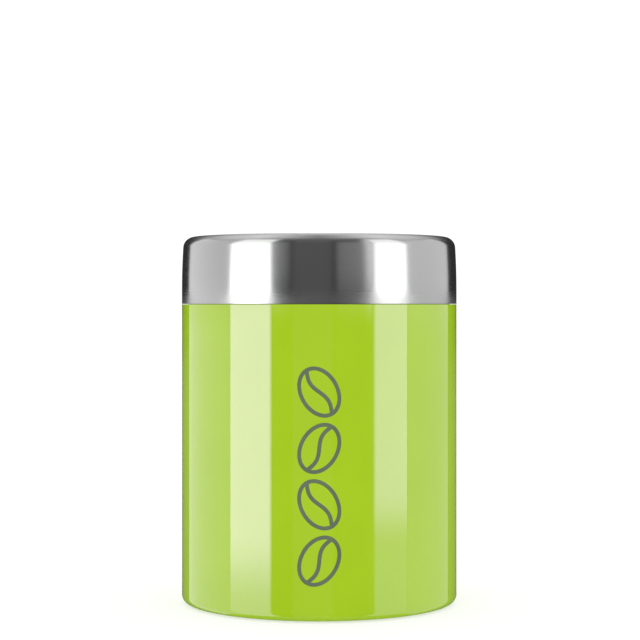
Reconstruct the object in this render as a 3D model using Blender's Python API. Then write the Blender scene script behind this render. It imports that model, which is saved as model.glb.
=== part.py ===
"""Kitchen canister for coffee: a lime enamelled steel body with a push-on stainless steel lid.

The body is a rolled steel shell whose lower edge turns in under a pressed base pan, with a
stainless neck collar fixed inside its mouth and a foot ring under the pan.  The lid is a deep
drawn cap that slides down over the neck and stands flush with the body.  Inside the cap sits a
moulded liner, whose plug enters the neck and carries a silicone seal ring.

Metres, +Z up.  The origin is the centre of the circle that the canister stands on.
"""

import math

import bpy

# --- Driving dimensions -------------------------------------------------------------------

BODY_DIAMETER = 0.110
OVERALL_HEIGHT = 0.146
LID_HEIGHT = 0.0265  # outside height of the cap, from its lower edge to its top

BODY_WALL = 0.0006
BODY_CORNER = 0.0030  # outside radius where the wall turns under
FLANGE_WIDTH = 0.0052  # flat part of the shell that turns in under the base pan

PAN_WALL = 0.0006
PAN_UPSTAND = 0.0105  # height of the pan's wall
PANEL_RISE = 0.0018  # the raised centre keeps the base from rocking
PANEL_SLOPE = 0.0015  # horizontal run of the step up to the panel

FOOT_STAND = 0.00045  # the foot ring stands this far below the shell
FOOT_WIDTH = 0.0028
FOOT_CHAMFER = 0.0003
FOOT_SETBACK = 0.0005  # side gap from the foot ring to the shell's flange
PANEL_SETBACK = 0.0007  # side gap from the foot ring to the panel's step

COLLAR_WALL = 0.0006
COLLAR_DEPTH = 0.014  # how far the collar reaches down inside the shell
COLLAR_BEND = 0.0006  # inside radius of the collar's two shoulder bends
NECK_HEIGHT = 0.0185  # how far the neck stands above the shell
BEAD_DIAMETER = 0.0020  # the rolled bead round the mouth

LID_WALL = 0.0006
LID_CORNER = 0.0044
LID_LEAN = 0.0005  # the drawn side curves in by this much towards the top
LEAN_RUN = 0.0166  # height over which it does so
HEM_THICKNESS = 0.0013  # the cap's lower edge is folded inwards on itself
HEM_HEIGHT = 0.0040
HEM_CHAMFER = 0.0003

LINER_WALL = 0.0015
PLUG_WALL = 0.0016
PLUG_DEPTH = 0.0176  # from the underside of the liner's disc
LINER_HEADROOM = 0.0008  # from the neck's bead up to the liner's rim

SEAL_HEIGHT = 0.0044
SEAL_BASE = 0.0008  # radial thickness of the seal's band
SEAL_LIP = 0.0006  # height of a lip at its tip
SEAL_LIPS = 2
GROOVE_DEPTH = 0.0008
GROOVE_RISE = 0.0030  # from the plug's lower end up to the seal groove

REST_GAP = 0.0003  # between pieces that touch
SEAT_GAP = 0.0003  # fine line between the seated lid and the shell
HEM_CLEARANCE = 0.0004  # radial, from the cap's hem to the neck's bead
PLUG_CLEARANCE = 0.0014  # radial, from the plug to the neck's bore
LIP_CLEARANCE = 0.0003  # radial, from the seal's lips to the neck's bore

SEGMENTS = 64  # facets round a full turn, a multiple of four
CORNER_STEPS = 5
BEND_STEPS = 3
BEAD_STEPS = 9
LEAN_STEPS = 3

# --- Derived sizes ------------------------------------------------------------------------

BODY_RADIUS = BODY_DIAMETER / 2
LID_EDGE_Z = OVERALL_HEIGHT - LID_HEIGHT
SHELL_TOP_Z = LID_EDGE_Z - SEAT_GAP
SHELL_BOTTOM_Z = FOOT_STAND
CORNER_CENTRE = BODY_RADIUS - BODY_CORNER  # radius at which the body's corner arc is centred
FLANGE_RADIUS = CORNER_CENTRE - FLANGE_WIDTH

PAN_RADIUS = BODY_RADIUS - BODY_WALL - REST_GAP
PAN_BOTTOM_Z = SHELL_BOTTOM_Z + BODY_WALL + REST_GAP
PAN_CORNER = BODY_CORNER - BODY_WALL - REST_GAP

FOOT_OUTER = FLANGE_RADIUS - FOOT_SETBACK
FOOT_INNER = FOOT_OUTER - FOOT_WIDTH
FOOT_TOP_Z = PAN_BOTTOM_Z - REST_GAP
STEP_RADIUS = FOOT_INNER - PANEL_SETBACK

HEM_RADIUS = BODY_RADIUS - HEM_THICKNESS
BEAD_OUTER = HEM_RADIUS - HEM_CLEARANCE
NECK_BORE = BEAD_OUTER - BEAD_DIAMETER
BAND_RADIUS = BODY_RADIUS - BODY_WALL - REST_GAP
MOUTH_Z = SHELL_TOP_Z + NECK_HEIGHT

LINER_RADIUS = BODY_RADIUS - LID_LEAN - LID_WALL - REST_GAP
LINER_TOP_Z = OVERALL_HEIGHT - LID_WALL - REST_GAP
LINER_CORNER = LID_CORNER - LID_WALL - REST_GAP
DISC_UNDERSIDE_Z = LINER_TOP_Z - LINER_WALL
PLUG_RADIUS = NECK_BORE - PLUG_CLEARANCE
PLUG_BOTTOM_Z = DISC_UNDERSIDE_Z - PLUG_DEPTH
GROOVE_RADIUS = PLUG_RADIUS - GROOVE_DEPTH
GROOVE_BOTTOM_Z = PLUG_BOTTOM_Z + GROOVE_RISE
SEAL_BOTTOM_Z = GROOVE_BOTTOM_Z + REST_GAP
SEAL_TOP_Z = SEAL_BOTTOM_Z + SEAL_HEIGHT
GROOVE_TOP_Z = SEAL_TOP_Z + REST_GAP
SEAL_INNER = GROOVE_RADIUS + REST_GAP


# --- Tools --------------------------------------------------------------------------------


def arc(radius, height, size, start, end, steps):
    """Points (r, z) on a circle of that size about (radius, height), from one angle to another in degrees."""
    turn = math.radians(end - start) / steps
    angles = [math.radians(start) + turn * i for i in range(steps + 1)]
    return [(radius + size * math.cos(a), height + size * math.sin(a)) for a in angles]


def material(name, colour, roughness, metallic):
    """A Principled material, its colour given in linear light."""
    made = bpy.data.materials.new(name)
    made.use_nodes = True
    shader = made.node_tree.nodes["Principled BSDF"]
    shader.inputs["Base Color"].default_value = (*colour, 1.0)
    shader.inputs["Roughness"].default_value = roughness
    shader.inputs["Metallic"].default_value = metallic
    made.diffuse_color = (*colour, 1.0)
    return made


def turned(name, outline, finish, parent):
    """A solid of revolution about Z.  The outline runs down the outside and back up the inside.

    An outline that starts and ends on the axis makes a disc or a cup; any other closes into a ring.
    """
    count = len(outline)
    on_axis = outline[0][0] == 0 and outline[-1][0] == 0
    edges = [(i, i + 1) for i in range(count - 1)]
    if not on_axis:
        edges.append((count - 1, 0))
    mesh = bpy.data.meshes.new(name)
    mesh.from_pydata([(r, 0.0, z) for r, z in outline], edges, [])
    mesh.materials.append(finish)
    piece = bpy.data.objects.new(name, mesh)
    bpy.context.collection.objects.link(piece)
    piece.parent = parent
    screw = piece.modifiers.new("Turn", "SCREW")
    screw.axis = "Z"
    screw.angle = math.tau
    screw.steps = SEGMENTS
    screw.render_steps = SEGMENTS
    screw.use_merge_vertices = True
    screw.merge_threshold = 0.00001
    screw.use_smooth_shade = True
    return piece


def empty(name, height):
    """An empty on the canister's axis."""
    made = bpy.data.objects.new(name, None)
    made.location = (0, 0, height)
    bpy.context.collection.objects.link(made)
    return made


# --- Body ---------------------------------------------------------------------------------


def shell_outline():
    """Straight wall with a rounded top edge, a corner turned under and a flat flange."""
    edge = BODY_WALL / 2
    corner_z = SHELL_BOTTOM_Z + BODY_CORNER
    wall_centre = BODY_RADIUS - edge
    top_edge = arc(wall_centre, SHELL_TOP_Z - edge, edge, 180, 0, BEND_STEPS)
    outer_corner = arc(CORNER_CENTRE, corner_z, BODY_CORNER, 0, -90, CORNER_STEPS)
    flange_edge = arc(FLANGE_RADIUS + edge, SHELL_BOTTOM_Z + edge, edge, 270, 90, BEND_STEPS)
    inner_corner = arc(CORNER_CENTRE, corner_z, BODY_CORNER - BODY_WALL, -90, 0, CORNER_STEPS)
    return top_edge + outer_corner + flange_edge + inner_corner


def pan_outline():
    """Cup with a low upstand that nests in the shell's corner, and a raised centre panel."""
    corner_z = PAN_BOTTOM_Z + PAN_CORNER
    top_z = PAN_BOTTOM_Z + PAN_UPSTAND
    panel_z = PAN_BOTTOM_Z + PANEL_RISE
    panel_radius = STEP_RADIUS - PANEL_SLOPE
    return [
        (0, panel_z + PAN_WALL),
        (panel_radius, panel_z + PAN_WALL),
        (STEP_RADIUS, PAN_BOTTOM_Z + PAN_WALL),
        *arc(CORNER_CENTRE, corner_z, PAN_CORNER - PAN_WALL, -90, 0, CORNER_STEPS),
        (PAN_RADIUS - PAN_WALL, top_z),
        (PAN_RADIUS, top_z),
        *arc(CORNER_CENTRE, corner_z, PAN_CORNER, 0, -90, CORNER_STEPS),
        (STEP_RADIUS, PAN_BOTTOM_Z),
        (panel_radius, panel_z),
        (0, panel_z),
    ]


def foot_outline():
    """Flat ring with its lower edges broken."""
    return [
        (FOOT_INNER, FOOT_TOP_Z),
        (FOOT_OUTER, FOOT_TOP_Z),
        (FOOT_OUTER, FOOT_CHAMFER),
        (FOOT_OUTER - FOOT_CHAMFER, 0),
        (FOOT_INNER + FOOT_CHAMFER, 0),
        (FOOT_INNER, FOOT_CHAMFER),
    ]


def collar_outline():
    """Band inside the shell, a shoulder level with the shell's edge, a neck and a rolled bead."""
    bead = BEAD_DIAMETER / 2
    bead_z = MOUTH_Z - bead
    outer_bend = COLLAR_BEND + COLLAR_WALL
    shoulder_centre = BAND_RADIUS - outer_bend
    shoulder_z = SHELL_TOP_Z - outer_bend
    neck_foot = NECK_BORE + outer_bend
    neck_foot_z = SHELL_TOP_Z + COLLAR_BEND
    bottom_z = SHELL_TOP_Z - COLLAR_DEPTH
    meets_neck = -math.degrees(math.acos((COLLAR_WALL - bead) / bead))
    return [
        *arc(NECK_BORE + bead, bead_z, bead, 180, meets_neck, BEAD_STEPS),
        *arc(neck_foot, neck_foot_z, COLLAR_BEND, 180, 270, BEND_STEPS),
        *arc(shoulder_centre, shoulder_z, outer_bend, 90, 0, BEND_STEPS),
        (BAND_RADIUS, bottom_z),
        (BAND_RADIUS - COLLAR_WALL, bottom_z),
        *arc(shoulder_centre, shoulder_z, COLLAR_BEND, 0, 90, BEND_STEPS),
        *arc(neck_foot, neck_foot_z, outer_bend, 270, 180, BEND_STEPS),
    ]


# --- Lid ----------------------------------------------------------------------------------


def lean(radius, top_z):
    """Points down the side, from the lid's corner to where the side is upright."""
    shares = [i / LEAN_STEPS for i in range(LEAN_STEPS, -1, -1)]
    return [(radius - LID_LEAN * share**2, top_z - LEAN_RUN * (1 - share)) for share in shares]


def cap_outline():
    """Flat top, rounded corner, a side that leans in a little and a hem folded inwards at the lower edge."""
    corner_z = OVERALL_HEIGHT - LID_CORNER
    corner_centre = BODY_RADIUS - LID_LEAN - LID_CORNER
    hem = HEM_THICKNESS / 2
    hem_top_z = LID_EDGE_Z + HEM_HEIGHT
    inner_radius = BODY_RADIUS - LID_WALL
    return [
        (0, OVERALL_HEIGHT),
        *arc(corner_centre, corner_z, LID_CORNER, 90, 0, CORNER_STEPS)[:-1],
        *lean(BODY_RADIUS, corner_z),
        *arc(BODY_RADIUS - hem, LID_EDGE_Z + hem, hem, 0, -180, BEND_STEPS),
        (HEM_RADIUS, hem_top_z - HEM_CHAMFER),
        (HEM_RADIUS + HEM_CHAMFER, hem_top_z),
        (inner_radius, hem_top_z),
        *lean(inner_radius, corner_z)[::-1],
        *arc(corner_centre, corner_z, LID_CORNER - LID_WALL, 0, 90, CORNER_STEPS)[1:],
        (0, OVERALL_HEIGHT - LID_WALL),
    ]


def liner_outline():
    """Disc under the cap's top, a short outer rim, and a hollow plug with a groove for the seal."""
    corner_z = LINER_TOP_Z - LINER_CORNER
    corner_centre = LINER_RADIUS - LINER_CORNER
    rim_z = MOUTH_Z + LINER_HEADROOM
    plug_bore = PLUG_RADIUS - PLUG_WALL
    return [
        (0, LINER_TOP_Z),
        *arc(corner_centre, corner_z, LINER_CORNER, 90, 0, CORNER_STEPS),
        (LINER_RADIUS, rim_z),
        (LINER_RADIUS - LINER_WALL, rim_z),
        (LINER_RADIUS - LINER_WALL, DISC_UNDERSIDE_Z),
        (PLUG_RADIUS, DISC_UNDERSIDE_Z),
        (PLUG_RADIUS, GROOVE_TOP_Z),
        (GROOVE_RADIUS, GROOVE_TOP_Z),
        (GROOVE_RADIUS, GROOVE_BOTTOM_Z),
        (PLUG_RADIUS, GROOVE_BOTTOM_Z),
        (PLUG_RADIUS, PLUG_BOTTOM_Z),
        (plug_bore, PLUG_BOTTOM_Z),
        (plug_bore, DISC_UNDERSIDE_Z),
        (0, DISC_UNDERSIDE_Z),
    ]


def seal_outline():
    """Flat silicone band with pointed lips round its outside."""
    base = SEAL_INNER + SEAL_BASE
    tip = NECK_BORE - LIP_CLEARANCE
    pitch = SEAL_HEIGHT / SEAL_LIPS
    outline = [(SEAL_INNER, SEAL_TOP_Z)]
    for i in range(SEAL_LIPS):
        top_z = SEAL_TOP_Z - pitch * i
        outline += [
            (base, top_z),
            (tip, top_z - SEAL_LIP / 2),
            (tip, top_z - SEAL_LIP * 3 / 2),
            (base, top_z - pitch * 3 / 4),
        ]
    return outline + [(base, SEAL_BOTTOM_Z), (SEAL_INNER, SEAL_BOTTOM_Z)]


# --- Assembly -----------------------------------------------------------------------------


def clear_scene():
    for old in list(bpy.data.objects):
        bpy.data.objects.remove(old)


def build():
    clear_scene()
    enamel = material("lime_enamel", (0.386, 0.604, 0.027), 0.12, 0.0)
    stainless = material("stainless_steel", (0.62, 0.62, 0.61), 0.22, 1.0)
    plain_steel = material("plain_steel", (0.50, 0.50, 0.49), 0.35, 1.0)
    polypropylene = material("white_polypropylene", (0.80, 0.80, 0.77), 0.45, 0.0)
    silicone = material("clear_silicone", (0.72, 0.72, 0.69), 0.50, 0.0)
    foot_rubber = material("grey_rubber", (0.10, 0.10, 0.10), 0.70, 0.0)

    body = empty("canister", 0)
    turned("body_shell", shell_outline(), enamel, body)
    turned("base_pan", pan_outline(), plain_steel, body)
    turned("foot_ring", foot_outline(), foot_rubber, body)
    turned("neck_collar", collar_outline(), stainless, body)

    lid = empty("lid", 0)
    lid.parent = body
    turned("lid_cap", cap_outline(), stainless, lid)
    turned("lid_liner", liner_outline(), polypropylene, lid)
    turned("seal_ring", seal_outline(), silicone, lid)


build()
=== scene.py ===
import math

import bpy
import numpy as np
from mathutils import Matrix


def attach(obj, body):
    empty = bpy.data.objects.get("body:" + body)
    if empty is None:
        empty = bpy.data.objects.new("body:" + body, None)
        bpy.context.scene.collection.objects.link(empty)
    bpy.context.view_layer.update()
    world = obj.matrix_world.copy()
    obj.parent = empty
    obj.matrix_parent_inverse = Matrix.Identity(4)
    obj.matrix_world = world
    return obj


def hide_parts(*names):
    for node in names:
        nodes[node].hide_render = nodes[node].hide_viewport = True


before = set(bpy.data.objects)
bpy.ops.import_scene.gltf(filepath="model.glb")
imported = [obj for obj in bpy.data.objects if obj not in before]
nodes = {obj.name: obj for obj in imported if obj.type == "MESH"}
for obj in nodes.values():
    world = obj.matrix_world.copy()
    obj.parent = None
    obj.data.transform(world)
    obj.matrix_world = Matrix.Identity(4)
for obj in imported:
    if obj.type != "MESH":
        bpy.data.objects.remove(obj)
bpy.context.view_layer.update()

mm = 0.001
aroundSteps = 384  # facets round a turned piece
bendStep = math.radians(5)  # one facet of a rounded corner turns by this much
fineBendStep = math.radians(12)  # and by this much where the corner is smaller than fineBend
fineBend = 1.0 * mm
longBendStep = 1.2 * mm  # a facet of a wide bend is at most this long
runStep = 4 * mm  # about the longest facet along a straight wall
leastParts = 4  # and even a short straight wall has this many
endFacets = 12  # facets of a sheet's half-round edge
onAxis = 1e-9  # a radius below this lies on the axis
noiseLow, noiseHigh = 0.3, 0.7  # nearly all of a Noise node's values lie between these

print("canister: frame loaded")


# the inner and outer radius and the lowest and highest z of a turned CAD node
def ringOf(name):
    flat = np.empty(len(nodes[name].data.vertices) * 3)
    nodes[name].data.vertices.foreach_get("co", flat)
    x, y, z = flat.reshape(-1, 3).T
    radius = np.hypot(x, y)
    return radius.min(), radius.max(), z.min(), z.max()


# turns (x, y) vectors: x cos a - y sin a, x sin a + y cos a
def turnBy(vectors, angles):
    c, s = np.cos(angles), np.sin(angles)
    x, y = vectors[..., 0], vectors[..., 1]
    return np.stack([x * c - y * s, x * s + y * c], axis=-1)


# Points and headings along a path with rounded corners. A corner is (r, z, bend radius), its arc starts
# bend * tan(turn / 2) before it and turns about the centre that lies one bend radius to the side.
# Straight runs are cosine spaced, (1 - cos) / 2, so that rings crowd towards the bends and flat walls
# shade flat.
def roundedPath(corners, closed=False):
    table = np.array(corners, float)
    spots, bends = table[:, :2], table[:, 2]
    count = len(spots)
    outgoing = np.roll(spots, -1, axis=0) - spots
    outgoing /= np.linalg.norm(outgoing, axis=1)[:, None]
    incoming = np.roll(outgoing, 1, axis=0)
    across = incoming[:, 0] * outgoing[:, 1] - incoming[:, 1] * outgoing[:, 0]
    turns = np.arctan2(across, (incoming * outgoing).sum(axis=1))
    if not closed:
        turns[[0, -1]] = 0
        outgoing[-1] = incoming[-1]
    setback = bends * np.tan(np.abs(turns) / 2)
    enter = spots - incoming * setback[:, None]
    leave = spots + outgoing * setback[:, None]
    points, headings = [], []
    for i in range(count):
        if setback[i] > 0:
            turn = abs(turns[i])
            step = bendStep if bends[i] > fineBend else fineBendStep
            facets = max(2, math.ceil(turn / step), math.ceil(turn * bends[i] / longBendStep))
            angles = np.linspace(0, turns[i], facets + 1)
            side = math.copysign(math.pi / 2, turns[i])
            centre = enter[i] + turnBy(incoming[i], side) * bends[i]
            points.append(centre + turnBy(enter[i] - centre, angles))
            headings.append(turnBy(incoming[i], angles))
        else:
            points.append(spots[i:i + 1])
            headings.append(outgoing[i:i + 1])
        if closed or i < count - 1:
            run = enter[(i + 1) % count] - leave[i]
            parts = int(np.linalg.norm(run) / runStep) + leastParts
            share = (1 - np.cos(np.pi * np.arange(1, parts) / parts)) / 2
            points.append(leave[i] + share[:, None] * run)
            headings.append(np.repeat(outgoing[i:i + 1], parts - 1, axis=0))
    return np.concatenate(points), np.concatenate(headings)


# The outline of a bent sheet: its middle line, offset by half the wall to each side, with half-round ends.
# A sheet that starts on the axis is open there.
def sheetOutline(corners, wall):
    points, headings = roundedPath(corners)
    left = turnBy(headings, math.pi / 2) * wall / 2
    angles = np.linspace(0, -math.pi, endFacets + 1)[1:-1]
    endCap = points[-1] + turnBy(left[-1], angles)
    outline = [points + left, endCap, (points - left)[::-1]]
    if corners[0][0] > 0:
        outline.append(points[0] + turnBy(-left[0], angles))
    return np.concatenate(outline)


# A surface of revolution: x = r cos a, y = r sin a, z = z over the grid of outline points and angles.
# The outline runs clockwise, with r to the right and z up, so that faces point outwards. One that starts
# and ends on the axis gets a pole at each end, and any other closes on itself. inset(a, r, z) gives how far
# a point lies inside its radius.
def turnedPiece(name, outline, inset=None, angles=None):
    if angles is None:
        angles = np.linspace(0, math.tau, aroundSteps, endpoint=False)
    poles = outline[0, 0] < onAxis and outline[-1, 0] < onAxis
    rings = outline[1:-1] if poles else outline
    r = np.repeat(rings[:, :1], len(angles), axis=1)
    z = np.repeat(rings[:, 1:], len(angles), axis=1)
    if inset is not None:
        r = r - inset(angles[None, :], r, z)
    grid = np.stack([r * np.cos(angles), r * np.sin(angles), z], axis=-1).reshape(-1, 3)
    here = np.arange(len(rings) * len(angles)).reshape(len(rings), len(angles))
    beside = np.roll(here, -1, axis=1)
    below, belowBeside = np.roll(here, -1, axis=0), np.roll(beside, -1, axis=0)
    quads = np.stack([here, below, belowBeside, beside], axis=-1)
    faces = (quads[:-1] if poles else quads).reshape(-1, 4).tolist()
    if poles:
        first, last = len(grid), len(grid) + 1
        grid = np.concatenate([grid, [[0, 0, outline[0, 1]], [0, 0, outline[-1, 1]]]])
        faces += np.stack([np.full(len(angles), first), here[0], beside[0]], axis=-1).tolist()
        faces += np.stack([here[-1], np.full(len(angles), last), beside[-1]], axis=-1).tolist()
    return addPiece(name, grid, faces)


# a smooth shaded object at the origin, with its place in its points
def addPiece(name, points, faces):
    mesh = bpy.data.meshes.new(name)
    mesh.from_pydata(points.tolist(), [], faces)
    mesh.shade_smooth()
    piece = bpy.data.objects.new(name, mesh)
    bpy.context.scene.collection.objects.link(piece)
    return piece


# gives a finished piece its material and body, and hides the CAD nodes that it stands in for
def settle(piece, finish, slot, body, *replaced):
    piece.data.materials.append(finish)
    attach(piece, body)
    if replaced:
        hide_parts(*replaced)


# an sRGB hex colour as linear red, green, blue and alpha
def linear(hexColour):
    srgb = np.array([int(hexColour[i:i + 2], 16) for i in (1, 3, 5)]) / 255
    values = np.where(srgb <= 0.04045, srgb / 12.92, ((srgb + 0.055) / 1.055) ** 2.4)
    return (*values.tolist(), 1.0)


# adds a node, with its settings, its inputs as values or as another node's output, and, for a colour ramp,
# its stops as (position, colour) in rising order
def addNode(tree, kind, settings=None, inputs=None, stops=()):
    node = tree.nodes.new(kind)
    for key, value in (settings or {}).items():
        setattr(node, key, value)
    for i, (position, colour) in enumerate(stops):
        elements = node.color_ramp.elements
        if i == 0:
            elements.remove(elements[-1])
            elements[0].position = position
        else:
            elements.new(position)
        elements[i].color = colour
    for key, value in (inputs or {}).items():
        if isinstance(value, bpy.types.NodeSocket):
            tree.links.new(value, node.inputs[key])
        else:
            node.inputs[key].default_value = value
    return node


def emptyTree(owner):
    owner.use_nodes = True
    owner.node_tree.nodes.clear()
    return owner.node_tree


def newMaterial(name):
    made = bpy.data.materials.new(name)
    tree = emptyTree(made)
    shader = addNode(tree, "ShaderNodeBsdfPrincipled")
    addNode(tree, "ShaderNodeOutputMaterial", inputs={"Surface": shader.outputs["BSDF"]})
    return made, tree, shader


def setShader(shader, values):
    for key, value in values.items():
        shader.inputs[key].default_value = value


# Lime vitreous enamel, sprayed and fired: a deep gloss over an even colour, a faint orange peel that
# makes the edges of reflections waver, and a slightly uneven shade where the spray lay thicker.
enamelLook = {
    "colour": "#AACF25",
    "thickColour": "#A7CC23",
    "roughness": 0.035,
    "ior": 1.95,  # frit is about 1.6, and this gives the strong highlights of the real finish
    "tint": (0.84, 0.60, 1.0, 1.0),  # less green, so that highlights turn paler and not greener
    "peelSize": 2.2 * mm,
    "peelHeight": 0.0022 * mm,
    "cloudSize": 30 * mm,
    "cloudStops": (0.35, 0.65),
}


def sprayedLimeEnamel():
    made, tree, shader = newMaterial("sprayedLimeEnamel")
    place = addNode(tree, "ShaderNodeTexCoord")
    cloud = addNode(tree, "ShaderNodeTexNoise", inputs={
        "Vector": place.outputs["Object"], "Scale": 1 / enamelLook["cloudSize"], "Detail": 2.0})
    colours = linear(enamelLook["thickColour"]), linear(enamelLook["colour"])
    shade = addNode(tree, "ShaderNodeValToRGB", inputs={"Fac": cloud.outputs["Fac"]},
                    stops=zip(enamelLook["cloudStops"], colours))
    tree.links.new(shade.outputs["Color"], shader.inputs["Base Color"])
    peel = addNode(tree, "ShaderNodeTexNoise", inputs={
        "Vector": place.outputs["Object"], "Scale": 1 / enamelLook["peelSize"], "Detail": 3.0})
    bump = addNode(tree, "ShaderNodeBump", inputs={
        "Height": peel.outputs["Fac"], "Distance": enamelLook["peelHeight"], "Strength": 1.0})
    tree.links.new(bump.outputs["Normal"], shader.inputs["Normal"])
    setShader(shader, {"Roughness": enamelLook["roughness"], "IOR": enamelLook["ior"],
                       "Specular Tint": enamelLook["tint"]})
    return made


# Satin stainless steel, drawn and then polished on a lathe: fine rings run round the piece, which draw
# reflections out along its height and soften their edges, and the top shows a fan of light.
steelLook = {
    "colour": "#BEBFBE",
    "roughness": 0.20,
    "roughnessSpread": 0.03,
    "anisotropy": 0.7,
    "anisotropyTurn": 0.25,  # a quarter turn from the rings, so that reflections stretch across them
    "haze": 0.14,  # added roughness along the lid's edge, where the polishing wheel lifts off
    "hazeReach": 7 * mm,
    "topHaze": 0.17,  # and on the lid's flat top, which is brushed and not polished
    "topReach": 0.35 * mm,
    "lineSize": 0.12 * mm,  # real lines are about 0.03 mm, and these are as fine as shows
    "lineLength": 25 * mm,
    "lineHeight": 0.0006 * mm,
}


# noise drawn out round the axis: r - z counts the lines along the profile, x and y only drift
def ringNoise(tree, size, length):
    place = addNode(tree, "ShaderNodeTexCoord")
    split = addNode(tree, "ShaderNodeSeparateXYZ", inputs={"Vector": place.outputs["Object"]})
    flat = addNode(tree, "ShaderNodeCombineXYZ", inputs={"X": split.outputs["X"], "Y": split.outputs["Y"]})
    radius = addNode(tree, "ShaderNodeVectorMath", {"operation": "LENGTH"}, {0: flat.outputs["Vector"]})
    along = addNode(tree, "ShaderNodeMath", {"operation": "SUBTRACT"},
                    {0: radius.outputs["Value"], 1: split.outputs["Z"]})
    drawn = addNode(tree, "ShaderNodeCombineXYZ", inputs={
        "X": split.outputs["X"], "Y": split.outputs["Y"], "Z": along.outputs["Value"]})
    stretched = addNode(tree, "ShaderNodeMapping", {"vector_type": "POINT"}, {
        "Vector": drawn.outputs["Vector"], "Scale": (1 / length, 1 / length, 1 / size)})
    return addNode(tree, "ShaderNodeTexNoise", inputs={
        "Vector": stretched.outputs["Vector"], "Scale": 1.0, "Detail": 3.0})


# the haze goes by height: it fades out upwards from the lid's edge, and in again just below its flat top
def latheSatinStainless(look):
    made, tree, shader = newMaterial("latheSatinStainless")
    lines = ringNoise(tree, look["lineSize"], look["lineLength"])
    rough = addNode(tree, "ShaderNodeMapRange", inputs={
        "Value": lines.outputs["Fac"], "From Min": noiseLow, "From Max": noiseHigh,
        "To Min": look["roughness"] - look["roughnessSpread"],
        "To Max": look["roughness"] + look["roughnessSpread"]})
    edge, top = ringOf("lid_cap")[2:]
    place = addNode(tree, "ShaderNodeTexCoord")
    split = addNode(tree, "ShaderNodeSeparateXYZ", inputs={"Vector": place.outputs["Object"]})
    haze = addNode(tree, "ShaderNodeMapRange", {"interpolation_type": "SMOOTHSTEP"}, {
        "Value": split.outputs["Z"], "From Min": edge + look["hazeReach"], "From Max": edge,
        "To Min": 0.0, "To Max": look["haze"]})
    topHaze = addNode(tree, "ShaderNodeMapRange", {"interpolation_type": "SMOOTHSTEP"}, {
        "Value": split.outputs["Z"], "From Min": top - look["topReach"] - capSize["dish"],
        "From Max": top - capSize["dish"], "To Min": 0.0, "To Max": look["topHaze"]})
    hazes = addNode(tree, "ShaderNodeMath", {"operation": "ADD"},
                    {0: haze.outputs["Result"], 1: topHaze.outputs["Result"]})
    total = addNode(tree, "ShaderNodeMath", {"operation": "ADD"},
                    {0: rough.outputs["Result"], 1: hazes.outputs["Value"]})
    tree.links.new(total.outputs["Value"], shader.inputs["Roughness"])
    bump = addNode(tree, "ShaderNodeBump", inputs={
        "Height": lines.outputs["Fac"], "Distance": look["lineHeight"], "Strength": 1.0})
    tree.links.new(bump.outputs["Normal"], shader.inputs["Normal"])
    tangent = addNode(tree, "ShaderNodeTangent", {"direction_type": "RADIAL", "axis": "Z"})
    tree.links.new(tangent.outputs["Tangent"], shader.inputs["Tangent"])
    setShader(shader, {"Base Color": linear(look["colour"]), "Metallic": 1.0,
                       "Anisotropic": look["anisotropy"], "Anisotropic Rotation": look["anisotropyTurn"]})
    return made


# Tinned steel sheet, pressed: the rolling mill's grain runs one way and the tin is a little cloudy.
panLook = {
    "colour": "#B9B8B3",
    "roughness": 0.34,
    "roughnessSpread": 0.08,
    "grainWidth": 0.25 * mm,
    "grainLength": 14 * mm,
    "grainHeight": 0.0015 * mm,
}


def rolledTinnedSteel():
    made, tree, shader = newMaterial("rolledTinnedSteel")
    place = addNode(tree, "ShaderNodeTexCoord")
    stretched = addNode(tree, "ShaderNodeMapping", {"vector_type": "POINT"}, {
        "Vector": place.outputs["Object"],
        "Scale": (1 / panLook["grainLength"], 1 / panLook["grainWidth"], 1 / panLook["grainLength"])})
    grain = addNode(tree, "ShaderNodeTexNoise", inputs={
        "Vector": stretched.outputs["Vector"], "Scale": 1.0, "Detail": 3.0})
    rough = addNode(tree, "ShaderNodeMapRange", inputs={
        "Value": grain.outputs["Fac"], "From Min": noiseLow, "From Max": noiseHigh,
        "To Min": panLook["roughness"] - panLook["roughnessSpread"],
        "To Max": panLook["roughness"] + panLook["roughnessSpread"]})
    tree.links.new(rough.outputs["Result"], shader.inputs["Roughness"])
    bump = addNode(tree, "ShaderNodeBump", inputs={
        "Height": grain.outputs["Fac"], "Distance": panLook["grainHeight"], "Strength": 1.0})
    tree.links.new(bump.outputs["Normal"], shader.inputs["Normal"])
    setShader(shader, {"Base Color": linear(panLook["colour"]), "Metallic": 1.0})
    return made


# An evenly coloured material: a faint cloud in its colour, a fine grain in its surface and, where it lets
# light in, some scatter inside. It serves the moulded pieces and the fired ink.
def cloudedFinish(name, look):
    made, tree, shader = newMaterial(name)
    place = addNode(tree, "ShaderNodeTexCoord")
    grain = addNode(tree, "ShaderNodeTexNoise", inputs={
        "Vector": place.outputs["Object"], "Scale": 1 / look["grainSize"], "Detail": 2.0})
    cloud = addNode(tree, "ShaderNodeTexNoise", inputs={
        "Vector": place.outputs["Object"], "Scale": 1 / look["cloudSize"], "Detail": 1.0})
    shade = addNode(tree, "ShaderNodeValToRGB", inputs={"Fac": cloud.outputs["Fac"]},
                    stops=((noiseLow, linear(look["darkColour"])), (noiseHigh, linear(look["colour"]))))
    tree.links.new(shade.outputs["Color"], shader.inputs["Base Color"])
    bump = addNode(tree, "ShaderNodeBump", inputs={
        "Height": grain.outputs["Fac"], "Distance": look["grainHeight"], "Strength": 1.0})
    tree.links.new(bump.outputs["Normal"], shader.inputs["Normal"])
    setShader(shader, {"Roughness": look["roughness"], "IOR": look["ior"],
                       "Subsurface Weight": look["scatter"], "Subsurface Radius": look["scatterReach"],
                       "Subsurface Scale": 1.0})
    return made


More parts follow.
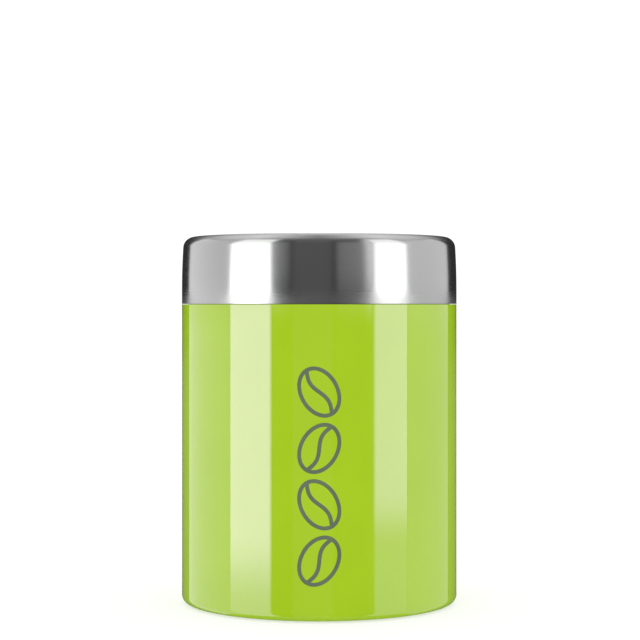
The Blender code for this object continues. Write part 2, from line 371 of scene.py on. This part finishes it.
# Polypropylene, injection moulded: the mould's spark-eroded skin gives a soft sheen over a milky body.
linerLook = {
    "colour": "#ECEBE4", "darkColour": "#E4E3DB", "roughness": 0.38, "ior": 1.49,
    "grainSize": 0.35 * mm, "grainHeight": 0.004 * mm, "cloudSize": 12 * mm,
    "scatter": 0.25, "scatterReach": (1.2 * mm, 1.1 * mm, 0.9 * mm)}

# Silicone rubber, moulded: smoother, and more translucent than the liner.
sealLook = {
    "colour": "#DCDBD3", "darkColour": "#D2D1C8", "roughness": 0.32, "ior": 1.41,
    "grainSize": 0.5 * mm, "grainHeight": 0.002 * mm, "cloudSize": 8 * mm,
    "scatter": 0.6, "scatterReach": (2.0 * mm, 1.9 * mm, 1.6 * mm)}

# Rubber, moulded: dull and dark, and it lets no light in.
footLook = {
    "colour": "#35373A", "darkColour": "#2C2E30", "roughness": 0.62, "ior": 1.52,
    "grainSize": 0.4 * mm, "grainHeight": 0.010 * mm, "cloudSize": 6 * mm,
    "scatter": 0.0, "scatterReach": (0.1 * mm, 0.1 * mm, 0.1 * mm)}

# Grey ceramic ink, screen printed and fired on: nearly as glossy as the enamel, a little uneven in weight.
inkLook = {
    "colour": "#66755C", "darkColour": "#606F57", "roughness": 0.16, "ior": 1.6,
    "grainSize": 0.6 * mm, "grainHeight": 0.0015 * mm, "cloudSize": 5 * mm,
    "scatter": 0.0, "scatterReach": (0.1 * mm, 0.1 * mm, 0.1 * mm)}


# The enamelled shell: a rolled wall, its lower edge turned in to a flat flange. inkRoom keeps the print
# flush with the canister's real radius.
shellSize = {
    "wall": 0.6 * mm, "corner": 3.0 * mm, "inkRoom": 0.03 * mm,
    "rimInner": 0.2 * mm, "rimOuter": 0.06 * mm, "flangeEdge": 0.28 * mm,  # small edge radii
    "seamWidth": 2.6 * mm, "valleyWidth": 1.04 * mm, "seamDepth": 0.035 * mm,
    "seamReach": 9, "seamColumns": 73,  # degrees to each side, and how many columns lie there
    "seamGap": 1e-3,  # radians, the least angle from there to the next even column
}


# two shallow valleys beside the welded seam at the back, each depth * exp(-(distance / width)^2) deep
def seamInset(angles, r, z):
    around = (angles - math.pi / 2) * r
    distance = np.abs(around) - shellSize["seamWidth"]
    return shellSize["seamDepth"] * np.exp(-(distance / shellSize["valleyWidth"]) ** 2)


# even angles, closer together near the seam at the back
def seamAngles():
    even = np.linspace(0, math.tau, aroundSteps, endpoint=False)
    reach, gap = math.radians(shellSize["seamReach"]), shellSize["seamGap"]
    near = math.pi / 2 + np.linspace(-reach, reach, shellSize["seamColumns"])
    return np.concatenate([even[even < near[0] - gap], near, even[even > near[-1] + gap]])


def buildShell(finish):
    inner, outer, low, high = ringOf("body_shell")
    wall, skin, edge = shellSize["wall"], outer - shellSize["inkRoom"], shellSize["flangeEdge"]
    corners = [
        (skin - wall, high, shellSize["rimInner"]),
        (skin, high, shellSize["rimOuter"]),
        (skin, low, shellSize["corner"]),
        (inner, low, edge),
        (inner, low + wall, edge),
        (skin - wall, low + wall, shellSize["corner"] - wall),
    ]
    outline = roundedPath(corners, closed=True)[0]
    shell = turnedPiece("enamelled_shell", outline, seamInset, seamAngles())
    settle(shell, finish, "enamel", "canister", "body_shell")


# The base pan: a low cup pressed from sheet, with a raised panel and two stiffening rings.
panSize = {
    "wall": 0.6 * mm, "corner": 2.1 * mm, "panelRise": 1.8 * mm, "footGap": 0.7 * mm,
    "stepRun": 1.5 * mm, "stepBend": 0.8 * mm,
    "ringRadii": (16 * mm, 30 * mm), "ringRise": 0.5 * mm, "ringHalfWidth": 1.8 * mm,
    "ringFoot": 1.2 * mm, "ringCrest": 2.0 * mm,  # bend radii at a ring's two feet and on its crest
}


def buildPan(finish):
    outer, low, high = ringOf("base_pan")[1:]
    footInner = ringOf("foot_ring")[0]
    half = panSize["wall"] / 2
    step = footInner - panSize["footGap"]
    panel = low + half + panSize["panelRise"]
    path = [(0, panel, 0)]
    for radius in panSize["ringRadii"]:
        path += [
            (radius - panSize["ringHalfWidth"], panel, panSize["ringFoot"]),
            (radius, panel + panSize["ringRise"], panSize["ringCrest"]),
            (radius + panSize["ringHalfWidth"], panel, panSize["ringFoot"]),
        ]
    path += [
        (step - panSize["stepRun"], panel, panSize["stepBend"]),
        (step, low + half, panSize["stepBend"]),
        (outer - half, low + half, panSize["corner"] - half),
        (outer - half, high - half, 0),
    ]
    pan = turnedPiece("pressed_base_pan", sheetOutline(path, panSize["wall"]))
    settle(pan, finish, "tinned_steel", "canister", "base_pan")


# The foot ring: a flat rubber ring with fine grooves round its underside.
footSize = {"edge": 0.3 * mm, "topEdge": 0.12 * mm, "grooves": 3, "grooveWidth": 0.24 * mm,
            "grooveDepth": 0.18 * mm, "grooveEdge": 0.05 * mm}


def buildFoot(finish):
    inner, outer, low, high = ringOf("foot_ring")
    edge, topEdge, fine = footSize["edge"], footSize["topEdge"], footSize["grooveEdge"]
    corners = [(inner, high, topEdge), (outer, high, topEdge), (outer, low, edge)]
    half, roof = footSize["grooveWidth"] / 2, low + footSize["grooveDepth"]
    spacing = (outer - inner) / (footSize["grooves"] + 1)
    for i in range(footSize["grooves"]):
        middle = outer - spacing * (i + 1)
        corners += [
            (middle + half, low, fine),
            (middle + half, roof, fine),
            (middle - half, roof, fine),
            (middle - half, low, fine),
        ]
    corners.append((inner, low, edge))
    foot = turnedPiece("rubber_foot_ring", roundedPath(corners, closed=True)[0])
    settle(foot, finish, "foot_rubber", "canister", "foot_ring")


# The neck collar: a band inside the shell, a shoulder, the neck, and the mouth's edge curled outwards.
collarSize = {"wall": 0.6 * mm, "bend": 0.9 * mm, "curl": 0.7 * mm,
              "curlEnd": 0.55 * mm, "tuck": 0.8 * mm}  # the curl's last bend, and where its edge ends up


def buildCollar(finish):
    inner, outer, low, high = ringOf("neck_collar")
    shoulder = ringOf("body_shell")[3]
    half, curl = collarSize["wall"] / 2, collarSize["curl"]
    neck = inner + half
    path = [
        (outer - half, low + half, 0),
        (outer - half, shoulder - half, collarSize["bend"]),
        (neck, shoulder - half, collarSize["bend"]),
        (neck, high - half, curl),
        (neck + 2 * curl, high - half, curl),
        (neck + 2 * curl, high - half - 2 * curl, collarSize["curlEnd"]),
        (neck + collarSize["tuck"], high - half - 2 * curl, 0),
    ]
    collar = turnedPiece("stainless_neck_collar", sheetOutline(path, collarSize["wall"]))
    settle(collar, finish, "stainless", "canister", "neck_collar")


# A column of coffee beans in one line weight, each an ellipse with an S for its crease, leaning left and
# right by turns. A stroke is a ribbon wrapped round the shell: across the page becomes an angle.
beanSize = {
    "count": 4, "long": 9.4 * mm, "short": 6.8 * mm, "lean": 30,  # half lengths, and degrees
    "stroke": 1.5 * mm, "low": 13.8 * mm, "high": 96 * mm, "creaseSway": 0.2,
    "ink": 0.03 * mm, "creaseInk": 0.027 * mm,  # how thick the ink lies, on the rim and on the crease
    "rimPoints": 160, "creasePoints": 70, "tipPoints": 8,
    # the ribbon's cross-section, as shares of the half width and of the ink
    "across": (-1, -1, -0.97, -0.90, 0, 0.90, 0.97, 1, 1),
    "above": (-1, 0.3, 0.8, 1, 1, 1, 0.8, 0.3, -1),
}


# A ribbon's cross-section is a flat bar with rounded shoulders, carried along the stroke's middle line:
# point = middle + across * side, and height grows from the shell's surface outwards.
def strokeRibbon(path, closed, radius, ink):
    width = beanSize["stroke"] / 2
    following = np.roll(path, -1, axis=0) - np.roll(path, 1, axis=0)
    if not closed:
        following[0], following[-1] = path[1] - path[0], path[-1] - path[-2]
    heading = following / np.linalg.norm(following, axis=1)[:, None]
    side = turnBy(heading, math.pi / 2)
    across, height = width * np.array(beanSize["across"]), ink * np.array(beanSize["above"])
    spots = path[:, None, :] + side[:, None, :] * across[None, :, None]
    if not closed:  # half-round ends: the last steps of the stroke draw in to its tip
        turns = np.linspace(0, math.pi / 2, beanSize["tipPoints"] + 1)[1:]
        tip = path[-1] + heading[-1] * (width * np.sin(turns))[:, None, None] \
            + side[-1] * (across[None, :, None] * np.cos(turns)[:, None, None])
        tail = path[0] - heading[0] * (width * np.sin(turns))[:, None, None] \
            + side[0] * (across[None, :, None] * np.cos(turns)[:, None, None])
        spots = np.concatenate([tail[::-1], spots, tip])
    angle = spots[..., 0] / radius - math.pi / 2
    reach = radius + np.repeat(height[None, :], len(spots), axis=0)
    points = np.stack([reach * np.cos(angle), reach * np.sin(angle), spots[..., 1]], axis=-1)
    here = np.arange(points.shape[0] * points.shape[1]).reshape(points.shape[:2])
    after, beside = np.roll(here, -1, axis=0), np.roll(here, -1, axis=1)
    quads = np.stack([here, after, np.roll(after, -1, axis=1), beside], axis=-1)
    if not closed:
        quads = quads[:-1]
    return points.reshape(-1, 3), quads.reshape(-1, 4)


# A rim is (short cos t, long sin t), and a crease is (-short * sway * sin(pi t), long * t) with t from -1 to
# 1. Both are then turned by the bean's lean and lifted to its place in the column.
def buildPrint(finish):
    radius = ringOf("body_shell")[1] - beanSize["ink"]
    lean = math.radians(beanSize["lean"])
    tall = 2 * math.hypot(beanSize["long"] * math.cos(lean), beanSize["short"] * math.sin(lean))
    room = beanSize["high"] - beanSize["low"] - beanSize["stroke"] - tall
    points, faces, used = [], [], 0
    for i in range(beanSize["count"]):
        middle = beanSize["low"] + (beanSize["stroke"] + tall) / 2 + room * i / (beanSize["count"] - 1)
        tilt = lean if i % 2 else -lean
        turn = np.linspace(0, math.tau, beanSize["rimPoints"], endpoint=False)
        rim = np.stack([beanSize["short"] * np.cos(turn), beanSize["long"] * np.sin(turn)], axis=-1)
        along = np.linspace(-1, 1, beanSize["creasePoints"])
        crease = np.stack([-beanSize["short"] * beanSize["creaseSway"] * np.sin(math.pi * along),
                           beanSize["long"] * along], axis=-1)
        # the crease runs into the rim at both ends, and lies a hair lower there
        for path, closed, ink in ((rim, True, beanSize["ink"]), (crease, False, beanSize["creaseInk"])):
            placed = turnBy(path, tilt) + (0, middle)
            spots, quads = strokeRibbon(placed, closed, radius, ink)
            points.append(spots)
            faces.append(quads + used)
            used += len(spots)
    beans = addPiece("printed_coffee_beans", np.concatenate(points), np.concatenate(faces).tolist())
    settle(beans, finish, "enamel", "canister")


# The lid cap: drawn from one disc, its top a hair dished. The lower edge is folded in and coined flat, and a
# fine slit is left between the fold and the wall.
capSize = {
    "wall": 0.6 * mm, "corner": 4.4 * mm, "lean": 0.5 * mm, "leanRun": 16.6 * mm, "dish": 0.12 * mm,
    "hem": 1.3 * mm, "hemHeight": 4.0 * mm, "slit": 0.1 * mm, "slitDepth": 3.0 * mm,
    "reach": 0.26 * mm,  # how far the hem comes into the CAD's gap over the shell, to leave a fine line
    "edgeOuter": 0.08 * mm, "edgeInner": 0.4 * mm, "foldBend": 0.25 * mm, "slitBend": 0.04 * mm,
}


def buildCap(finish):
    outer, low, high = ringOf("lid_cap")[1:]
    wall, hem = capSize["wall"], capSize["hem"]
    foldBend, slitBend = capSize["foldBend"], capSize["slitBend"]
    edge, foldTop = low - capSize["reach"], low + capSize["hemHeight"]
    slitOuter, slitInner = outer - wall, outer - wall - capSize["slit"]
    slitLow = foldTop - capSize["slitDepth"]
    # the side bends in along a large circle, whose radius is run^2 / (2 * lean)
    lean, run = capSize["lean"], capSize["leanRun"]
    bend = run ** 2 / (2 * lean)
    bendMiddle = high - capSize["corner"] - run / 2
    topLean = lean * (high - bendMiddle) / (run / 2)
    corners = [
        (0, high, 0),
        (outer - topLean, high, capSize["corner"]),
        (outer, bendMiddle, bend),
        (outer, edge, capSize["edgeOuter"]),
        (outer - hem, edge, capSize["edgeInner"]),
        (outer - hem, foldTop, foldBend),
        (slitInner, foldTop, foldBend),
        (slitInner, slitLow, slitBend),
        (slitOuter, slitLow, slitBend),
        (slitOuter, bendMiddle, bend),
        (slitOuter - topLean, high - wall, capSize["corner"] - wall),
        (0, high - wall, 0),
    ]
    outline = roundedPath(corners)[0]
    flat = outer - topLean - capSize["corner"]  # the dish is dish * (1 - (r / flat)^2) deep
    dish = capSize["dish"] * np.clip(1 - (outline[:, 0] / flat) ** 2, 0, 1)
    outline[:, 1] -= np.where(outline[:, 1] > high - 2 * wall, dish, 0)
    cap = turnedPiece("drawn_lid_cap", outline)
    settle(cap, finish, "stainless", "lid", "lid_cap")


# The liner: a moulded disc with a short outer rim, and a hollow plug grooved for the seal.
linerSize = {
    "wall": 1.5 * mm, "plugWall": 1.6 * mm, "corner": 3.5 * mm, "edge": 0.35 * mm,
    "grooveDepth": 0.8 * mm, "grooveEdge": 0.12 * mm, "headroom": 0.8 * mm, "sealGap": 0.3 * mm,
    # the moulding gate's stub in its shallow well: their radii, how deep the well is, and how far the stub
    # stands out of it
    "gate": 1.6 * mm, "well": 3.52 * mm, "wellDepth": 0.3 * mm, "stub": 0.1 * mm,
}


def buildLiner(finish):
    outer, low, high = ringOf("lid_liner")[1:]
    sealInner, _, sealLow, sealHigh = ringOf("seal_ring")
    under, edge = high - linerSize["wall"], linerSize["edge"]
    rim = ringOf("neck_collar")[3] + linerSize["headroom"]
    groove = sealInner - linerSize["sealGap"]
    plug = groove + linerSize["grooveDepth"]
    grooveLow, grooveHigh = sealLow - linerSize["sealGap"], sealHigh + linerSize["sealGap"]
    bore, fine, stub = plug - linerSize["plugWall"], linerSize["grooveEdge"], linerSize["stub"]
    gate, well, wellTop = linerSize["gate"], linerSize["well"], under + linerSize["wellDepth"]
    corners = [
        (0, high, 0),
        (outer, high, linerSize["corner"]),
        (outer, rim, edge),
        (outer - linerSize["wall"], rim, edge),
        (outer - linerSize["wall"], under, edge),
        (plug, under, edge),
        (plug, grooveHigh, fine),
        (groove, grooveHigh, fine),
        (groove, grooveLow, fine),
        (plug, grooveLow, fine),
        (plug, low, 2 * edge),
        (bore, low, edge),
        (bore, under, 2 * edge),
        (well, under, fine),
        (well, wellTop, fine),
        (gate, wellTop, fine),
        (gate, under - stub, stub),
        (0, under - stub, 0),
    ]
    liner = turnedPiece("moulded_lid_liner", roundedPath(corners)[0])
    settle(liner, finish, "polypropylene", "lid", "lid_liner")


# The seal: a silicone band with two soft lips that lean down. A lip's places are shares of the pitch, down
# from where it starts.
sealSize = {
    "band": 0.8 * mm, "bandEdge": 0.2 * mm, "lips": 2, "root": 0.12 * mm, "tip": 0.14 * mm,
    "tipTop": 0.42, "tipFoot": 0.60, "lipFoot": 0.62, "undercut": 0.1 * mm,
}


def buildSeal(finish):
    inner, outer, low, high = ringOf("seal_ring")
    base, pitch = inner + sealSize["band"], (high - low) / sealSize["lips"]
    edge, root, tip = sealSize["bandEdge"], sealSize["root"], sealSize["tip"]
    corners = [(inner, high, edge)]
    for i in range(sealSize["lips"]):
        top = high - pitch * i
        corners += [
            (base, top, edge if i == 0 else root),
            (outer, top - sealSize["tipTop"] * pitch, tip),
            (outer - sealSize["undercut"], top - sealSize["tipFoot"] * pitch, tip),
            (base, top - sealSize["lipFoot"] * pitch, root),
        ]
    corners += [(base, low, edge), (inner, low, edge)]
    seal = turnedPiece("silicone_seal_ring", roundedPath(corners, closed=True)[0])
    settle(seal, finish, "silicone", "lid", "seal_ring")


enamel = sprayedLimeEnamel()
steel = latheSatinStainless(steelLook)
buildShell(enamel)
buildPan(rolledTinnedSteel())
buildFoot(cloudedFinish("mouldedRubber", footLook))
buildCollar(steel)
buildPrint(cloudedFinish("firedCeramicInk", inkLook))
print("canister: body built")
buildCap(steel)
buildLiner(cloudedFinish("mouldedPolypropylene", linerLook))
buildSeal(cloudedFinish("mouldedSilicone", sealLook))
print("canister: lid built")


# Azimuths are counted from the front, positive to the right, in degrees, and heights are in metres. Each
# card has its strength at its two ends, and "fades" is how wide its start, end, low and high edge fade.
# "below" is the share of its light under its low edge, where the table throws some of it back. A softbox
# has two shares "above", for the heights beside the lid and over it.
lightSetup = {
    "fill": 1.09,  # even light on matt surfaces
    "cards": {
        "left_softbox": {"span": (-75.6, -36.9), "low": -0.102, "high": 1.10, "strength": (3.9, 3.9),
                         "fades": (0.0, 3.5, 0.056, 0.50), "below": 0.42, "above": (0.75, 0.45)},
        "right_softbox": {"span": (42.1, 74.3), "low": -0.057, "high": 1.10, "strength": (2.65, 2.65),
                          "fades": (4.0, 0.0, 0.040, 0.50), "below": 0.36, "above": (1.0, 0.66)},
        "left_card": {"span": (-135.8, -75.6), "low": 0.09, "high": 0.62, "strength": (1.08, 0.73),
                      "fades": (2.0, 0.0, 0.03, 0.0), "below": 1.22},
        "right_card": {"span": (74.3, 132.3), "low": 0.09, "high": 0.62, "strength": (0.86, 0.92),
                       "fades": (0.0, 2.0, 0.03, 0.0), "below": 0.86},
        "left_spill": {"span": (-36.9, -21.0), "low": 0.105, "high": 0.60, "strength": (0.47, 0.13),
                       "fades": (0.0, 3.0, 0.018, 0.40), "below": 0.05},
        "right_spill": {"span": (10.5, 35.0), "low": 0.105, "high": 0.60, "strength": (0.28, 0.36),
                        "fades": (5.5, 0.0, 0.018, 0.40), "below": 0.1},
        "right_glow": {"span": (35.0, 42.1), "low": 0.105, "high": 0.80, "strength": (0.42, 1.45),
                       "fades": (0.0, 0.0, 0.018, 0.50), "below": 0.05},
        "rear_glow": {"span": (170.0, 190.0), "low": 0.26, "high": 1.20, "strength": (1.70, 1.70),
                      "fades": (4.0, 4.0, 0.10, 0.60), "below": 0.02},
        "left_rear": {"span": (-180.0, -135.8), "low": -0.80, "high": 0.10, "strength": (0.14, 0.14),
                      "fades": (0.0, 0.0, 0.1, 0.05), "below": 1.0},
        "right_rear": {"span": (132.3, 180.0), "low": -0.80, "high": 0.10, "strength": (0.14, 0.14),
                       "fades": (0.0, 0.0, 0.1, 0.05), "below": 1.0},
    },
    # light falls to the first share "above" between the first two heights, to the second between the others
    "dimmed": (0.11, 0.145, 0.22, 0.32),
    "kept": 0.3,  # the share of its light that a card which fades at its high edge still has there
    "distance": 0.72,
    "lowest": -0.80,
    "columns": 90,
    "rows": 240,
}


# rises from 0 to 1 over the width, as 3 s^2 - 2 s^3
def smooth(value, start, width):
    share = np.clip((value - start) / max(width, 1e-6), 0, 1)  # no width gives a step
    return share * share * (3 - 2 * share)


# A card lit from behind, bent round the canister: x = reach cos a, y = reach sin a, z = height. Its light is
# a smooth rise and fall across its span, times one up its height, times the share left at heights that are
# dimmed, times the strength between its two ends.
def buildCard(name, card):
    start, end = card["span"]
    low, high = card["low"], card["high"]
    fadeStart, fadeEnd, fadeLow, fadeHigh = card["fades"]
    azimuth, height = np.meshgrid(np.linspace(start, end, lightSetup["columns"]),
                                  np.linspace(lightSetup["lowest"], high, lightSetup["rows"]))
    across = smooth(azimuth, start, fadeStart) * (1 - smooth(azimuth, end - fadeEnd, fadeEnd))
    up = card["below"] + (1 - card["below"]) * smooth(height, low, fadeLow)
    up = up * (1 - (1 - lightSetup["kept"]) * smooth(height, high - fadeHigh, fadeHigh))
    beside, over = card.get("above", (1, 1))
    up = up * np.interp(height, lightSetup["dimmed"], (1, beside, beside, over))
    glow = np.interp(azimuth, card["span"], card["strength"]) * across * up
    angle, reach = np.radians(azimuth) - math.pi / 2, lightSetup["distance"]
    points = np.stack([reach * np.cos(angle), reach * np.sin(angle), height], axis=-1).reshape(-1, 3)
    here = np.arange(angle.size).reshape(angle.shape)
    faces = np.stack([here[:-1, :-1], here[1:, :-1], here[1:, 1:], here[:-1, 1:]], axis=-1)
    panel = addPiece(name, points, faces.reshape(-1, 4).tolist())
    panel.data.attributes.new("glow", "FLOAT", "POINT").data.foreach_set("value", glow.ravel())
    made = bpy.data.materials.new(name + "_light")
    tree = emptyTree(made)
    read = addNode(tree, "ShaderNodeAttribute", {"attribute_name": "glow"})
    light = addNode(tree, "ShaderNodeEmission", inputs={"Strength": read.outputs["Fac"]})
    addNode(tree, "ShaderNodeOutputMaterial", inputs={"Surface": light.outputs["Emission"]})
    panel.data.materials.append(made)
    panel.visible_camera = False
    panel.visible_diffuse = False
    panel.visible_shadow = False
    panel.visible_transmission = False


# White paper, matt and lit evenly, so that the floor runs into the background with a soft contact shadow.
floorSetup = {"rings": (0.4, 1.6, 4.0), "around": 96, "colour": "#B8B8B7", "roughness": 0.9, "glow": 0.58}


# a flat disc, x = r cos a and y = r sin a, of rings with radii in metres
def buildFloor():
    turn = np.linspace(0, math.tau, floorSetup["around"], endpoint=False)
    rings = np.array(floorSetup["rings"])[:, None]
    flat = np.stack([rings * np.cos(turn), rings * np.sin(turn), np.zeros_like(rings * turn)], axis=-1)
    here = np.arange(flat[..., 0].size).reshape(flat.shape[:2])
    beside = np.roll(here, -1, axis=1)
    faces = np.stack([here[:-1], here[1:], beside[1:], beside[:-1]], axis=-1).reshape(-1, 4).tolist()
    floor = addPiece("floor", flat.reshape(-1, 3), faces + [here[0].tolist()])
    made, tree, shader = newMaterial("paleSeamlessPaper")
    setShader(shader, {"Base Color": linear(floorSetup["colour"]), "Roughness": floorSetup["roughness"],
                       "Emission Strength": floorSetup["glow"], "Emission Color": (1, 1, 1, 1),
                       "Specular IOR Level": 0.0})
    # the paper is clear from below, so that the canister's underside can be looked at
    side = addNode(tree, "ShaderNodeNewGeometry")
    clear = addNode(tree, "ShaderNodeBsdfTransparent")
    paper = addNode(tree, "ShaderNodeMixShader", inputs={
        0: side.outputs["Backfacing"], 1: shader.outputs["BSDF"], 2: clear.outputs["BSDF"]})
    tree.links.new(paper.outputs["Shader"], tree.nodes["Material Output"].inputs["Surface"])
    floor.data.materials.append(made)
    floor.visible_glossy = False


# The world is white to the camera and to matt surfaces. Gloss sees a studio instead: one column of light by
# height in front and one behind, as (z, strength), a ceiling that is brighter to both sides, and a dim table.
# x, y and z are those of a direction's unit vector.
studioSetup = {
    "front": ((0.0, 0.118), (0.45, 0.15), (0.80, 0.18), (1.0, 0.38)),
    "rear": ((0.05, 0.025), (0.26, 0.03), (0.38, 0.11), (0.50, 0.38), (0.60, 0.62), (0.70, 0.87),
             (0.80, 1.00), (0.88, 0.90), (0.96, 0.56), (1.0, 0.38)),
    "turn": (-0.35, 0.10),  # from front to rear over this part of y
    "sides": 1.2,  # light that the ceiling gains towards x = 1 and x = -1
    "sidesRise": (0.80, 0.93),  # over this part of z
    "table": 0.10,
    "tableDrop": (-0.2, -0.6),  # the table's light comes in downwards, over this part of z
}


def buildWorld():
    world = bpy.data.worlds.new("studio")
    tree = emptyTree(world)
    place = addNode(tree, "ShaderNodeTexCoord")
    split = addNode(tree, "ShaderNodeSeparateXYZ", inputs={"Vector": place.outputs["Generated"]})
    front, rear = [
        addNode(tree, "ShaderNodeValToRGB", inputs={"Fac": split.outputs["Z"]},
                stops=[(z, (strength, strength, strength, 1)) for z, strength in studioSetup[side]])
        for side in ("front", "rear")]
    turn, sides, table = [
        addNode(tree, "ShaderNodeMapRange", {"interpolation_type": "SMOOTHSTEP"}, {
            "Value": split.outputs[axis], "From Min": first, "From Max": last, "To Min": 0.0, "To Max": top})
        for axis, (first, last), top in (
            ("Y", studioSetup["turn"], 1.0),
            ("Z", studioSetup["sidesRise"], studioSetup["sides"]),
            ("Z", studioSetup["tableDrop"], studioSetup["table"]))]
    column = addNode(tree, "ShaderNodeMix", {"data_type": "FLOAT"}, {
        0: turn.outputs["Result"], 2: front.outputs["Color"], 3: rear.outputs["Color"]})
    apart = addNode(tree, "ShaderNodeMath", {"operation": "ABSOLUTE"}, {0: split.outputs["X"]})
    upper = addNode(tree, "ShaderNodeMath", {"operation": "MULTIPLY_ADD"},
                    {0: apart.outputs["Value"], 1: sides.outputs["Result"], 2: column.outputs[0]})
    glossy = addNode(tree, "ShaderNodeMath", {"operation": "ADD"},
                     {0: upper.outputs["Value"], 1: table.outputs["Result"]})
    rays = addNode(tree, "ShaderNodeLightPath")
    white = (1, 1, 1, 1)
    seen = addNode(tree, "ShaderNodeBackground", inputs={"Color": white, "Strength": glossy.outputs["Value"]})
    fill = addNode(tree, "ShaderNodeBackground", inputs={"Color": white, "Strength": lightSetup["fill"]})
    mixed = addNode(tree, "ShaderNodeMixShader", inputs={
        0: rays.outputs["Is Glossy Ray"], 1: fill.outputs["Background"], 2: seen.outputs["Background"]})
    addNode(tree, "ShaderNodeOutputWorld", inputs={"Surface": mixed.outputs["Shader"]})
    bpy.context.scene.world = world


# The camera looks level, with its eye at the lid's lower edge. The distance is in metres, the lens and the
# sensor are in millimetres, and the shifts are shares of the sensor's width.
cameraSetup = {"distance": 0.770, "lens": 107.85, "sensor": 36.0, "across": 0.0012, "up": -0.0245}


def buildCamera():
    data = bpy.data.cameras.new("camera")
    data.lens = cameraSetup["lens"]
    data.sensor_width = cameraSetup["sensor"]
    data.shift_x = cameraSetup["across"]
    data.shift_y = cameraSetup["up"]
    camera = bpy.data.objects.new("camera", data)
    camera.location = (0, -cameraSetup["distance"], ringOf("body_shell")[3])
    camera.rotation_euler = (math.pi / 2, 0, 0)
    bpy.context.scene.collection.objects.link(camera)
    bpy.context.scene.camera = camera


for cardName, card in lightSetup["cards"].items():
    buildCard(cardName, card)
buildFloor()
buildWorld()
buildCamera()
bpy.context.scene.view_settings.view_transform = "Standard"
print("canister: stage, light and camera set")
